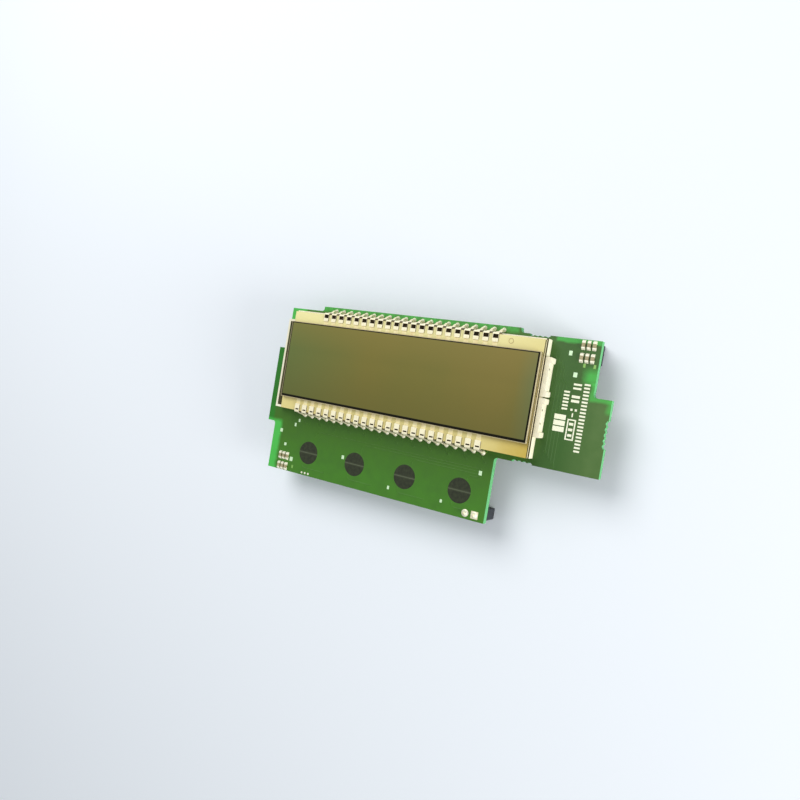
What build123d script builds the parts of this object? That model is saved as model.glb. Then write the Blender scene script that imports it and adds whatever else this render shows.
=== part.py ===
from build123d import *
import os

# Display circuit board: a stepped two-sided board that carries a segment display
# with edge-clip pins, its edge-lit backlight, four carbon key contacts, chip parts
# and, behind, the driver chip and two sockets.
# Millimetres. The board lies flat, +Z is the way the display faces, +X runs along
# the display as it is read and +Y is its upper edge. The origin is the middle of
# the board's outline at the level of the sockets' mouths.

# Board
board_length = 97.6
board_width = 47.9
board_thickness = 1.6
left_tab_depth = 2.7
left_tab_top = 10.85
left_tab_bottom = -10.65
top_left_drop = 1.3
top_left_end = -34.8
top_right_drop = 1.15
top_right_start = 24.8
shoulder_depth = 4.3
shoulder_level = 10.0
arm_below_frame = 1.6
key_area_end = 23.5
inner_corner_radius = 0.8
outer_corner_radius = 0.4

# Break-off edges, left where the board was snapped from its panel
bite_pitch = 1.27
bite_radius = 0.4
bite_recess = 0.3
bite_count = 4
arm_bite_count = 5
top_bites_x = 29.7
arm_bites_y = 2.2
bottom_bites_x = 30.5

# Sockets behind the board
socket_height = 7.5
socket_pitch = 2.54
socket_end_wall = 1.33
socket_hole_radius = 0.45
socket_hole_depth = 6.0
lower_socket_inset_x = 3.9
lower_socket_inset_y = 1.45
lower_socket_width = 2.8
upper_socket_inset_x = 4.4
upper_socket_inset_y = 2.5
upper_socket_width = 4.8
socket_foot = 0.3
post_size = 0.64
post_above_board = 0.9
post_pad_radius = 0.95
post_hole_radius = 0.5
pad_thickness = 0.05
gull_width = 0.7
gull_reach = 1.1
gull_thickness = 0.25

# Display place and layers
display_x = -4.3
frame_height = 2.7
film_thickness = 0.15
polariser_thickness = 0.25
glass_thickness = 1.1
front_glass_length = 73.8
contact_ledge = 3.35
rear_glass_overhang = 0.2
rear_glass_top_inset = 0.4
rear_glass_bottom_inset = 0.05
front_polariser_end_inset = 0.4
front_polariser_side_inset = 0.5
front_polariser_shift = 0.2
rear_polariser_end_inset = 0.7
rear_polariser_side_inset = 0.3

# Backlight frame
frame_half_width = 13.95
frame_right_clearance = 0.1
frame_left_clearance = 0.4
frame_wall = 0.6
guide_clearance = 0.1
loop_depth = 2.8
loop_top_inset = 2.65
hood_length = 9.2
hood_depth = 1.25
hood_bump = 0.4
hood_bump_length = 1.4
hood_bump_radius = 0.3
hood_wall = 0.5
hood_gap = 0.3
hood_split_y = 0.45

# Backlight lamps
lamp_length = 3.0
lamp_depth = 1.1
lamp_height = 1.7
lamp_spread = 4.4
lamp_gap = 0.1
lamp_lens_depth = 0.35

# Display pins
pin_pitch = 2.54
pin_bottom_count = 23
pin_top_skip_count = 2
pin_bottom_start = -31.15
pin_row_clearance = 1.1
pin_edge_margin = 1.05
pin_width = 1.6
pin_thickness = 0.25
pin_finger_length = 1.95
pin_bend_reach = 0.1
pin_wall_reach = 0.23
pin_wall_drop = 0.1
pin_knee_reach = 0.6
pin_knee_height = 2.2
pin_foot_height = 0.9
pin_tail_width = 0.6
pin_stickout = 0.6
pin_jaw_length = 1.6
pin_jaw_width = 1.0
pin_window_width = 1.15
pin_window_length = 0.55
pin_window_inset = 0.05
pin_hole_radius = 0.45
pin_hole_sides = 8

# Key contacts
key_count = 4
key_pitch = 16.0
key_first_inset_x = 13.9
key_inset_y = 6.45
key_radius = 3.15
key_split = 0.22

# Chip resistors in front
chip_length = 1.6
chip_width = 0.8
chip_height = 0.45
chip_cap = 0.35
chip_fillet = 0.25
chip_pitch = 1.27
chip_columns = 3
chip_row_pitch = 2.95
upper_chips_inset_x = 2.85
upper_chips_inset_y = 2.75
lower_chips_inset_x = 5.3
lower_chips_inset_y = 2.65

# Tinned test points: distance from the display frame's or the board's corner and the
# pad's two sides. One lies between the frame and the upper chips, at a share of the way
chip_side_test_share = 0.678
chip_side_test_drop = 3.45
chip_side_test_length = 0.8
chip_side_test_width = 1.1
arm_test_points = [
    (6.7, 8.25, 0.9, 1.1),
]
frame_corner_test_points = [
    (4.6, 2.95, 0.6, 0.9),
    (3.4, 4.35, 0.6, 1.0),
]
board_corner_test_points = [
    (66.7, 11.8, 0.8, 1.1),
    (57.4, 2.8, 0.6, 0.8),
    (41.6, 2.7, 0.6, 0.9),
    (25.8, 7.6, 0.8, 1.0),
    (2.9, 11.1, 0.9, 1.0),
    (5.1, 7.4, 0.8, 0.8),
    (8.1, 3.6, 1.0, 1.2),
]

# Driver chip and its parts behind the board
driver_side = 10.0
driver_height = 1.4
driver_standoff = 0.1
driver_x = 2.0
driver_y = 5.0
driver_corner = 0.5
lead_count = 13
lead_pitch = 0.65
lead_width = 0.3
lead_thickness = 0.15
lead_reach = 1.0
lead_level = 0.75
lead_knee = 0.3
capacitor_length = 2.0
capacitor_width = 1.25
capacitor_height = 0.9
capacitor_cap = 0.45
capacitor_places = [(-9.0, 5.3), (-13.0, 5.3), (13.0, 5.3), (17.0, 5.3)]
dropper_places = [(29.5, 13.5), (29.5, 9.5)]

# Printed legend, kept generic. Each column of plain bars has its distance from the
# display's end, its first bar's level, the bars' pitch and their two sides
print_thickness = 0.03
print_bar_counts = [20, 2, 2, 1, 3, 6, 3]
print_columns = [
    (9.9, 12.65, 0.8, 1.35, 0.42),
    (7.7, 12.4, 0.9, 1.9, 0.45),
    (7.7, 9.6, 1.0, 1.9, 0.6),
    (7.6, 5.4, 0.9, 0.3, 0.9),
    (7.7, 3.35, 1.3, 1.0, 0.6),
    (5.5, 10.5, 0.78, 1.35, 0.42),
    (4.85, 4.6, 1.4, 2.7, 1.15),
]
print_box_offset = 7.7
print_box_y = 2.05
print_box_width = 2.0
print_box_length = 4.8
print_box_line = 0.3
print_dot_level = 6.6
print_dot_side = 0.5
print_dot_spread = 1.0

# Levels, from the sockets' mouths up
board_bottom = socket_height
board_top = board_bottom + board_thickness
frame_top = board_top + frame_height
guide_bottom = board_top + film_thickness
guide_top = frame_top - film_thickness
rear_glass_bottom_face = frame_top + polariser_thickness
rear_glass_top_face = rear_glass_bottom_face + glass_thickness
front_glass_top_face = rear_glass_top_face + glass_thickness

board_left = -board_length / 2
board_right = board_length / 2
board_upper = board_width / 2
board_lower = -board_width / 2
main_left = board_left + left_tab_depth
shoulder_edge = board_right - shoulder_depth
top_right_edge = board_upper - top_right_drop

# Sizes of the cell, the frame and the pin rows, each fitted to the next
front_glass_width = 2 * (frame_half_width - contact_ledge)
rear_glass_length = front_glass_length + 2 * rear_glass_overhang
rear_glass_top = frame_half_width - rear_glass_top_inset
rear_glass_bottom = rear_glass_bottom_inset - frame_half_width
front_polariser_length = front_glass_length - 2 * front_polariser_end_inset
front_polariser_width = front_glass_width - 2 * front_polariser_side_inset
rear_polariser_length = front_glass_length - 2 * rear_polariser_end_inset
rear_polariser_width = front_glass_width - 2 * rear_polariser_side_inset
frame_right = rear_glass_length / 2 + frame_right_clearance
frame_left = -rear_glass_length / 2 - frame_left_clearance
loop_top = frame_half_width - loop_top_inset
pin_row_reach = frame_half_width + pin_row_clearance

# Places on the board, from its edges
display_y = board_upper - pin_edge_margin - pin_row_reach
display_right = display_x + frame_right
arm_bottom = display_y - frame_half_width - arm_below_frame
key_first_x = main_left + key_first_inset_x
key_y = board_lower + key_inset_y
lower_socket_x = key_area_end - lower_socket_inset_x
lower_socket_y = board_lower + lower_socket_inset_y
upper_socket_x = shoulder_edge - upper_socket_inset_x
upper_socket_y = top_right_edge - upper_socket_inset_y
upper_chips_x = shoulder_edge - upper_chips_inset_x
upper_chips_y = top_right_edge - upper_chips_inset_y
upper_chips_left = upper_chips_x - (chip_columns - 1) / 2 * chip_pitch - chip_width / 2
chip_side_test_x = display_right + chip_side_test_share * (upper_chips_left - display_right)
lower_chips_x = main_left + lower_chips_inset_x
lower_chips_y = board_lower + lower_chips_inset_y
print_box_x = display_right + print_box_offset


def save(builder, name):
    """Label a finished piece and write it under its own name."""
    builder.part.label = name
    export_step(builder.part, f"parts/{name}.step")


os.makedirs("parts", exist_ok=True)

# Pin places along the display
pin_bottom_x = [display_x + pin_bottom_start + pin_pitch * i for i in range(pin_bottom_count)]
pin_top_x = pin_bottom_x[pin_top_skip_count:]
pin_top_y = display_y + pin_row_reach
pin_bottom_y = display_y - pin_row_reach
pin_holes = [(x, pin_top_y) for x in pin_top_x] + [(x, pin_bottom_y) for x in pin_bottom_x]
lower_posts = [(lower_socket_x + side * socket_pitch / 2, lower_socket_y) for side in (-1, 1)]

# The board: stepped outline, drilled for every pin, with its break-off edges
outline = [
    (main_left, board_upper - top_left_drop),
    (top_left_end, board_upper - top_left_drop),
    (top_left_end, board_upper),
    (top_right_start, board_upper),
    (top_right_start, top_right_edge),
    (shoulder_edge, top_right_edge),
    (shoulder_edge, shoulder_level),
    (board_right, shoulder_level),
    (board_right, arm_bottom),
    (key_area_end, arm_bottom),
    (key_area_end, board_lower),
    (main_left, board_lower),
    (main_left, left_tab_bottom),
    (board_left, left_tab_bottom),
    (board_left, left_tab_top),
    (main_left, left_tab_top),
]
inner_corners = [
    (top_left_end, board_upper - top_left_drop),
    (top_right_start, top_right_edge),
    (shoulder_edge, shoulder_level),
    (key_area_end, arm_bottom),
    (main_left, left_tab_bottom),
    (main_left, left_tab_top),
]
break_edges = [
    (top_bites_x, top_right_edge, 0, bite_count),
    (board_right, arm_bites_y, 90, arm_bite_count),
    (bottom_bites_x, arm_bottom, 0, bite_count),
]
with BuildPart() as circuit_board:
    with BuildSketch(Plane.XY.offset(board_bottom)) as board_face:
        with BuildLine():
            Polyline(*outline, close=True)
        make_face()
        corners = board_face.vertices()
        hollow = [
            v for v in corners if any(abs(v.X - x) + abs(v.Y - y) < 1e-6 for x, y in inner_corners)
        ]
        solid = [v for v in corners if v not in hollow]
        fillet(hollow, inner_corner_radius)
        remaining = [v for v in board_face.vertices() if any(v == s for s in solid)]
        fillet(remaining, outer_corner_radius)
        with Locations(*pin_holes):
            RegularPolygon(pin_hole_radius, pin_hole_sides, mode=Mode.SUBTRACT)
        with Locations(*lower_posts):
            RegularPolygon(post_hole_radius, pin_hole_sides, mode=Mode.SUBTRACT)
        for x, y, turn, count in break_edges:
            with Locations(Location((x, y, 0), (0, 0, turn))):
                Rectangle(count * bite_pitch, 2 * bite_recess, mode=Mode.SUBTRACT)
                with GridLocations(bite_pitch, 1, count, 1):
                    Circle(bite_radius + bite_recess / 2, mode=Mode.SUBTRACT)
    extrude(amount=board_thickness)
save(circuit_board, "circuit_board")

# Backlight frame: a thin-walled ring, the open loop at its left end and two hoods
# over the lamps at its right end
frame_plane = Plane((display_x, display_y, board_top))
ring_length = frame_right - frame_left
ring_middle = (frame_right + frame_left) / 2
pocket_length = ring_length - 2 * frame_wall
pocket_width = 2 * (frame_half_width - frame_wall)
loop_left = frame_left - loop_depth
loop_length = loop_top + frame_half_width
loop_middle = (loop_top - frame_half_width) / 2
hood_centres = [
    hood_split_y + side * (hood_gap + hood_length) / 2 for side in (1, -1)
]
with BuildPart() as backlight_frame:
    with BuildSketch(frame_plane):
        with Locations((ring_middle, 0)):
            Rectangle(ring_length, 2 * frame_half_width)
        with Locations(((loop_left + frame_left) / 2, loop_middle)):
            Rectangle(loop_depth, loop_length)
        for y in hood_centres:
            with Locations((frame_right + hood_depth / 2, y)):
                Rectangle(hood_depth, hood_length)
            with Locations((frame_right + (hood_depth + hood_bump) / 2, y)):
                with GridLocations(1, hood_length - hood_bump_length, 1, 2):
                    RectangleRounded(hood_depth + hood_bump, hood_bump_length, hood_bump_radius)
                    with Locations((-hood_depth / 2, 0)):
                        Rectangle(hood_bump, hood_bump_length)
    extrude(amount=frame_height)
    with BuildSketch(frame_plane):
        with Locations((ring_middle, 0)):
            Rectangle(pocket_length, pocket_width)
        with Locations(((loop_left + frame_wall + frame_left) / 2, loop_middle)):
            Rectangle(loop_depth - frame_wall, loop_length - 2 * frame_wall)
    extrude(amount=frame_height, mode=Mode.SUBTRACT)
    with BuildSketch(frame_plane):
        for y in hood_centres:
            with Locations((frame_right + (hood_depth - hood_wall - frame_wall) / 2, y)):
                Rectangle(hood_depth - hood_wall + frame_wall, hood_length - 2 * hood_wall)
    extrude(amount=frame_height - hood_wall, mode=Mode.SUBTRACT)
save(backlight_frame, "backlight_frame")

# Light guide between a reflector film and a diffuser film
guide_length = pocket_length - 2 * guide_clearance
guide_width = pocket_width - 2 * guide_clearance
stack = [
    ("reflector_film", board_top, film_thickness),
    ("light_guide", guide_bottom, guide_top - guide_bottom),
    ("diffuser_film", guide_top, film_thickness),
]
for name, level, height in stack:
    with BuildPart() as layer:
        with BuildSketch(Plane((display_x, display_y, level))):
            with Locations((ring_middle, 0)):
                Rectangle(guide_length, guide_width)
        extrude(amount=height)
    save(layer, name)

# The display cell: two polarisers and two glass plates, the rear one wider so that
# its contact ledges stand clear above and below
plates = [
    ("rear_polariser", frame_top, polariser_thickness, rear_polariser_length,
     rear_polariser_width, 0),
    ("rear_glass", rear_glass_bottom_face, glass_thickness, rear_glass_length,
     rear_glass_top - rear_glass_bottom, (rear_glass_top + rear_glass_bottom) / 2),
    ("front_glass", rear_glass_top_face, glass_thickness, front_glass_length,
     front_glass_width, 0),
    ("front_polariser", front_glass_top_face, polariser_thickness, front_polariser_length,
     front_polariser_width, front_polariser_shift),
]
for name, level, height, length, width, shift in plates:
    with BuildPart() as plate:
        with BuildSketch(Plane((display_x, display_y, level))):
            with Locations((0, shift)):
                Rectangle(length, width)
        extrude(amount=height)
    save(plate, name)

# Side-facing lamps under the hoods, with a clear lens towards the light guide
lamp_front = frame_right - frame_wall + lamp_gap
lamp_rows = [y + side * lamp_spread / 2 for y in hood_centres for side in (1, -1)]
for name, start, depth in [
    ("backlight_lamps", lamp_front + lamp_lens_depth, lamp_depth - lamp_lens_depth),
    ("backlight_lamp_lenses", lamp_front, lamp_lens_depth),
]:
    with BuildPart() as lamps:
        with BuildSketch(frame_plane):
            with Locations(*[(start + depth / 2, y) for y in lamp_rows]):
                Rectangle(depth, lamp_length)
        extrude(amount=lamp_height)
    save(lamps, name)


def pin_clip_outline(edge):
    """Side view of one clip pin's wide part: finger on the glass, bend, wall and knee."""
    finger_tip = edge - pin_finger_length
    finger_top = rear_glass_top_face + pin_thickness
    bend_y = edge + pin_bend_reach
    wall_y = edge + pin_wall_reach
    wall_z = rear_glass_top_face - pin_wall_drop
    knee_y = edge + pin_knee_reach
    knee_z = board_top + pin_knee_height
    return [
        (finger_tip, rear_glass_top_face),
        (bend_y, rear_glass_top_face),
        (wall_y, wall_z),
        (knee_y, knee_z),
        (knee_y + pin_thickness, knee_z),
        (wall_y + pin_thickness, wall_z),
        (bend_y + pin_thickness / 2, finger_top),
        (finger_tip, finger_top),
    ]


def pin_tail_outline(edge):
    """Side view of one clip pin's narrow tail, from the knee down through the board."""
    knee_y = edge + pin_knee_reach
    knee_z = board_top + pin_knee_height
    foot_z = board_top + pin_foot_height
    tip_z = board_bottom - pin_stickout
    return [
        (knee_y, knee_z),
        (knee_y + pin_thickness, knee_z),
        (pin_row_reach + pin_thickness / 2, foot_z),
        (pin_row_reach + pin_thickness / 2, tip_z),
        (pin_row_reach - pin_thickness / 2, tip_z),
        (pin_row_reach - pin_thickness / 2, foot_z),
    ]


def build_pin(edge):
    """One clip pin over a glass edge that lies at y = edge, reaching towards +Y."""
    strips = [(pin_clip_outline(edge), pin_width), (pin_tail_outline(edge), pin_tail_width)]
    with BuildPart() as pin:
        for strip_outline, width in strips:
            with BuildSketch(Plane.YZ.offset(-width / 2)):
                with BuildLine():
                    Polyline(*strip_outline, close=True)
                make_face()
            extrude(amount=width)
        with BuildSketch(Plane.XY.offset(frame_top)):
            with Locations((0, edge + pin_knee_reach - pin_jaw_length / 2)):
                Rectangle(pin_jaw_width, pin_jaw_length)
        extrude(amount=polariser_thickness)
        with BuildSketch(Plane.XY.offset(rear_glass_top_face)):
            with Locations((0, edge - pin_window_inset - pin_window_length / 2)):
                Rectangle(pin_window_width, pin_window_length)
        extrude(amount=pin_thickness, mode=Mode.SUBTRACT)
    return pin.part


# The two rows of clip pins
pin_rows = [
    ("display_pins_top", rear_glass_top, pin_top_x, 1),
    ("display_pins_bottom", -rear_glass_bottom, pin_bottom_x, -1),
]
for name, edge, places, side in pin_rows:
    pin_solid = build_pin(edge)
    turn = 0 if side > 0 else 180
    with BuildPart() as row:
        with Locations(*[Location((x, display_y, 0), (0, 0, turn)) for x in places]):
            add(pin_solid)
    save(row, name)

# Carbon key contacts, each a disc split along the middle
for number in range(key_count):
    with BuildPart() as key_contact:
        with BuildSketch(Plane.XY.offset(board_top)):
            with Locations((key_first_x + number * key_pitch, key_y)):
                Circle(key_radius)
                Rectangle(2 * key_radius, key_split, mode=Mode.SUBTRACT)
        extrude(amount=pad_thickness)
    save(key_contact, f"key_contact_{number + 1}")


def chip_blocks(places, length, width, height, plane_level, upward):
    """Bodies of chip parts that lie along Y, between their end caps."""
    with BuildPart() as blocks:
        with BuildSketch(Plane.XY.offset(plane_level)):
            with Locations(*places):
                Rectangle(width, length)
        extrude(amount=height if upward else -height)
    return blocks


def chip_ends(places, length, cap, width, height, fillet_length, plane_level, upward):
    """Soldered end caps of chip parts, each sloping down to its pad."""
    sign = 1 if upward else -1
    half = length / 2
    with BuildPart() as ends:
        for x, y in places:
            for side in (1, -1):
                with BuildSketch(Plane.YZ.offset(x - width / 2)):
                    with BuildLine():
                        Polyline(
                            (y + side * (half - cap), plane_level),
                            (y + side * (half - cap), plane_level + sign * height),
                            (y + side * half, plane_level + sign * height),
                            (y + side * (half + fillet_length), plane_level + sign * height / 3),
                            (y + side * (half + fillet_length), plane_level),
                            close=True,
                        )
                    make_face()
                extrude(amount=width)
    return ends


def chip_grid(x, y):
    """Places of one block of chip resistors, three columns in two rows."""
    return [
        (x + (column - (chip_columns - 1) / 2) * chip_pitch, y + (row - 0.5) * chip_row_pitch)
        for column in range(chip_columns)
        for row in range(2)
    ]


# Chip resistors in front, in two blocks of six
for label, x, y in [
    ("upper", upper_chips_x, upper_chips_y),
    ("lower", lower_chips_x, lower_chips_y),
]:
    places = chip_grid(x, y)
    bodies = chip_blocks(places, chip_length - 2 * chip_cap, chip_width, chip_height, board_top, True)
    save(bodies, f"chip_resistors_{label}")
    ends = chip_ends(
        places, chip_length, chip_cap, chip_width, chip_height, chip_fillet, board_top, True
    )
    save(ends, f"chip_resistor_ends_{label}")

# Tinned test points and the two pads of the lower socket's posts
with BuildPart() as test_pads:
    with BuildSketch(Plane.XY.offset(board_top)):
        with Locations((chip_side_test_x, top_right_edge - chip_side_test_drop)):
            Rectangle(chip_side_test_length, chip_side_test_width)
        for corner_x, corner_y, way_y, points in [
            (display_right, top_right_edge, -1, arm_test_points),
            (display_x + frame_left, display_y - frame_half_width, -1, frame_corner_test_points),
            (main_left, board_lower, 1, board_corner_test_points),
        ]:
            for reach_x, reach_y, length, width in points:
                with Locations((corner_x + reach_x, corner_y + way_y * reach_y)):
                    Rectangle(length, width)
    extrude(amount=pad_thickness)
save(test_pads, "test_pads")

with BuildPart() as post_pads:
    with BuildSketch(Plane.XY.offset(board_top)):
        with Locations(lower_posts[0]):
            Circle(post_pad_radius)
        with Locations(lower_posts[1]):
            Rectangle(2 * post_pad_radius, 2 * post_pad_radius)
        with Locations(*lower_posts):
            RegularPolygon(post_hole_radius, pin_hole_sides, mode=Mode.SUBTRACT)
    extrude(amount=pad_thickness)
save(post_pads, "post_pads")

# Lower socket, one row of two, with posts through the board
lower_length = socket_pitch + 2 * socket_end_wall
with BuildPart() as lower_socket:
    with BuildSketch(Plane.XY):
        with Locations((lower_socket_x, lower_socket_y)):
            Rectangle(lower_length, lower_socket_width)
    extrude(amount=socket_height)
    with Locations(*[(x, y, 0) for x, y in lower_posts]):
        Cylinder(
            socket_hole_radius,
            socket_hole_depth,
            align=(Align.CENTER, Align.CENTER, Align.MIN),
            mode=Mode.SUBTRACT,
        )
save(lower_socket, "lower_socket")

with BuildPart() as lower_posts_part:
    with BuildSketch(Plane.XY.offset(board_bottom)):
        with Locations(*lower_posts):
            Rectangle(post_size, post_size)
    extrude(amount=board_thickness + post_above_board)
    chamfer(lower_posts_part.faces().sort_by(Axis.Z)[-2:].edges(), post_size / 5)
save(lower_posts_part, "lower_socket_posts")

# Upper socket, two rows of two, held by gull-wing feet on the board's rear face
upper_length = socket_pitch + 2 * socket_end_wall
upper_holes = [
    (upper_socket_x + i * socket_pitch / 2, upper_socket_y + j * socket_pitch / 2)
    for i in (-1, 1)
    for j in (-1, 1)
]
with BuildPart() as upper_socket:
    with BuildSketch(Plane.XY):
        with Locations((upper_socket_x, upper_socket_y)):
            Rectangle(upper_length, upper_socket_width)
    extrude(amount=socket_height - socket_foot)
    with BuildSketch(Plane.XY):
        with Locations(*upper_holes):
            Rectangle(2 * socket_hole_radius, 2 * socket_hole_radius)
    extrude(amount=socket_hole_depth, mode=Mode.SUBTRACT)
    with BuildSketch(Plane.XY.offset(socket_height - socket_foot)):
        with Locations((upper_socket_x, upper_socket_y)):
            Rectangle(upper_length, gull_width)
    extrude(amount=socket_foot)
save(upper_socket, "upper_socket")

with BuildPart() as upper_feet:
    with BuildSketch(Plane.XY.offset(board_bottom)):
        for x in (upper_socket_x - socket_pitch / 2, upper_socket_x + socket_pitch / 2):
            for side in (1, -1):
                inner = gull_width / 2 + socket_foot
                outer = upper_socket_width / 2
                with Locations((x, upper_socket_y + side * (inner + outer) / 2)):
                    Rectangle(gull_width, outer - inner)
    extrude(amount=-socket_foot)
save(upper_feet, "upper_socket_feet")

# Driver chip behind the board with its gull-wing leads
driver_top = board_bottom - driver_standoff
with BuildPart() as driver_chip:
    with BuildSketch(Plane.XY.offset(driver_top)) as driver_face:
        with Locations((driver_x, driver_y)):
            Rectangle(driver_side, driver_side)
        chamfer(driver_face.vertices(), driver_corner)
    extrude(amount=-driver_height)
save(driver_chip, "driver_chip")

lead_z = driver_top - lead_level
lead_start = driver_side / 2
with BuildPart() as lead:
    with BuildSketch(Plane.XZ.offset(-lead_width / 2)):
        with BuildLine():
            Polyline(
                (lead_start, lead_z),
                (lead_start + lead_knee, lead_z),
                (lead_start + lead_reach, board_bottom - lead_thickness),
                (lead_start + lead_reach, board_bottom),
                (lead_start + 2 * lead_knee, board_bottom),
                (lead_start + lead_knee - lead_thickness, lead_z + lead_thickness),
                (lead_start, lead_z + lead_thickness),
                close=True,
            )
        make_face()
    extrude(amount=lead_width)
lead_solid = lead.part
lead_row = [(i - (lead_count - 1) / 2) * lead_pitch for i in range(lead_count)]
lead_places = [
    Location((driver_x, driver_y, 0), (0, 0, turn)) * Location((0, step, 0))
    for turn in (0, 90, 180, 270)
    for step in lead_row
]
with BuildPart() as driver_leads:
    with Locations(*lead_places):
        add(lead_solid)
save(driver_leads, "driver_chip_leads")

# Capacitors of the driver and the lamps' dropper resistors, all behind the board
for label, places in [
    ("capacitor", capacitor_places),
    ("dropper", dropper_places),
]:
    bodies = chip_blocks(
        places, capacitor_length - 2 * capacitor_cap, capacitor_width,
        capacitor_height, board_bottom, False,
    )
    save(bodies, f"{label}_bodies")
    ends = chip_ends(
        places, capacitor_length, capacitor_cap, capacitor_width, capacitor_height,
        chip_fillet, board_bottom, False,
    )
    save(ends, f"{label}_ends")

# Printed legend on the arm of the board
with BuildPart() as legend_print:
    with BuildSketch(Plane.XY.offset(board_top)):
        for column, bar_count in zip(print_columns, print_bar_counts):
            offset_x, first_y, pitch, width, length = column
            for number in range(bar_count):
                with Locations((display_right + offset_x, first_y - number * pitch)):
                    Rectangle(width, length)
        with Locations((print_box_x, print_dot_level)):
            with GridLocations(print_dot_spread, 1, 2, 1):
                Rectangle(print_dot_side, print_dot_side)
        with Locations((print_box_x, print_box_y)):
            with BuildSketch(mode=Mode.PRIVATE) as box_line:
                Rectangle(print_box_width, print_box_length)
                Rectangle(
                    print_box_width - 2 * print_box_line,
                    print_box_length - 2 * print_box_line,
                    mode=Mode.SUBTRACT,
                )
            add(box_line.sketch)
    extrude(amount=print_thickness)
save(legend_print, "legend_print")
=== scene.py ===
"""Dresses the display circuit board: its pins, solder, display, board and parts.

Sizes are in millimetres in the part's own frame and become metres when a mesh is made.
"""
from __future__ import annotations

import logging
import math
from dataclasses import dataclass, field
from enum import Enum
from typing import Any, Mapping, Sequence, Union

import bmesh
import bpy
from mathutils import Matrix, Vector


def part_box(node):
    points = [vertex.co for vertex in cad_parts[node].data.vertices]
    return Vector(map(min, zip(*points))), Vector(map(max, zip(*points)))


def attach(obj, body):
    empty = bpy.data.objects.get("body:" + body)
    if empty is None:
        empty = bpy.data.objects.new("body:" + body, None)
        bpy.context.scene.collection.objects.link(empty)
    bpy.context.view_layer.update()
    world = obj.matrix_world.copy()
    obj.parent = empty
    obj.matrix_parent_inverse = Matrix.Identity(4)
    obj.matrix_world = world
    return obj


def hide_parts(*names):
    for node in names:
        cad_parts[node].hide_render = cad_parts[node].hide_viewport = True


MM = 0.001
BODY = "root"
LOG = logging.getLogger("display_board")

PITCH = 2.54
BOARD_TOP = 9.1
BOARD_BOTTOM = 7.5
DISPLAY_X = -4.3
DISPLAY_Y = 7.85

Spot = tuple[float, float]
Point = tuple[float, float, float]
Area = tuple[float, float, float, float]
Colour = tuple[float, float, float, float]
Points = Sequence[Sequence[float]]
Term = Union["Wire", float]
Socket = bpy.types.NodeSocket
Material = bpy.types.Material
Mesh = bpy.types.Mesh
Piece = bpy.types.Object

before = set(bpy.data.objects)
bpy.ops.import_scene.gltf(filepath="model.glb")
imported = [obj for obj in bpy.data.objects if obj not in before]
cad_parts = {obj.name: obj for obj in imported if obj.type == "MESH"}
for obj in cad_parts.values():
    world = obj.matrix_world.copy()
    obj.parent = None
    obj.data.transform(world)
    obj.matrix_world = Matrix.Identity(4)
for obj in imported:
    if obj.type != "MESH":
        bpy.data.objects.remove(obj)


def srgb(red: float, green: float, blue: float) -> Colour:
    """Turn a colour as seen on a screen, 0 to 255, into Blender's linear colour.

    Args:
        red: Red share, 0 to 255.
        green: Green share, 0 to 255.
        blue: Blue share, 0 to 255.

    Returns:
        The linear colour with full opacity.
    """
    linear = [
        share / 12.92 if share <= 0.04045 else ((share + 0.055) / 1.055) ** 2.4
        for share in (red / 255, green / 255, blue / 255)
    ]
    return (linear[0], linear[1], linear[2], 1.0)


def add_node(
    tree: bpy.types.NodeTree,
    kind: str,
    settings: Mapping[str, Any],
    inputs: Mapping[Any, Any],
    out: Union[int, str] = 0,
) -> Socket:
    """Add one node to a material's tree or a Geometry Nodes tree.

    Args:
        tree: The tree.
        kind: The node's type.
        settings: Properties that are set first.
        inputs: Values of its sockets, or the outputs that feed them.
        out: The output that is returned.

    Returns:
        The chosen output.
    """
    made = tree.nodes.new(kind)
    for name, value in settings.items():
        setattr(made, name, value)
    for key, value in inputs.items():
        if isinstance(value, Socket):
            tree.links.new(value, made.inputs[key])
        else:
            made.inputs[key].default_value = value
    return made.outputs[out]


class Wire:
    """One value in a material's tree, with arithmetic that adds Math nodes."""

    def __init__(self, paint: "Paint", socket: Socket) -> None:
        """Keep the tree and the socket that the value comes from."""
        self.paint = paint
        self.socket = socket

    def _math(self, operation: str, *terms: Term) -> "Wire":
        """Add one Math node that joins the terms."""
        return self.paint.node("ShaderNodeMath", {"operation": operation}, dict(enumerate(terms)))

    def __add__(self, other: Term) -> "Wire":
        """Add a term."""
        return self._math("ADD", self, other)

    def __sub__(self, other: Term) -> "Wire":
        """Take a term away."""
        return self._math("SUBTRACT", self, other)

    def __rsub__(self, other: Term) -> "Wire":
        """Take this value away from a term."""
        return self._math("SUBTRACT", other, self)

    def __mul__(self, other: Term) -> "Wire":
        """Multiply by a term."""
        return self._math("MULTIPLY", self, other)

    def __truediv__(self, other: Term) -> "Wire":
        """Divide by a term."""
        return self._math("DIVIDE", self, other)

    def sine(self) -> "Wire":
        """Return the sine of this value."""
        return self._math("SINE", self)

    def size(self) -> "Wire":
        """Return this value without its sign."""
        return self._math("ABSOLUTE", self)

    def fraction(self) -> "Wire":
        """Return what is left of this value above its whole number."""
        return self._math("FRACT", self)

    def rise(self, start: float, end: float) -> "Wire":
        """Run from 0 at one level to 1 at another, clamped beyond them."""
        levels = {"Value": self, "From Min": start, "From Max": end}
        return self.paint.node("ShaderNodeMapRange", {"clamp": True}, levels)

    def between(self, start: float, end: float, soft: float, far_soft: float = 0.0) -> "Wire":
        """Return 1 between two levels, with a soft step inside the lower and the upper one."""
        return self.rise(start, start + soft) * (1.0 - self.rise(end - (far_soft or soft), end))


def rectangle(along: Wire, across: Wire, reach: Area, soft: float) -> Wire:
    """Return 1 inside a soft-edged rectangle, its reach given in X and then in Y."""
    left, right, near, far = reach
    return along.between(left, right, soft) * across.between(near, far, soft)


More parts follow.
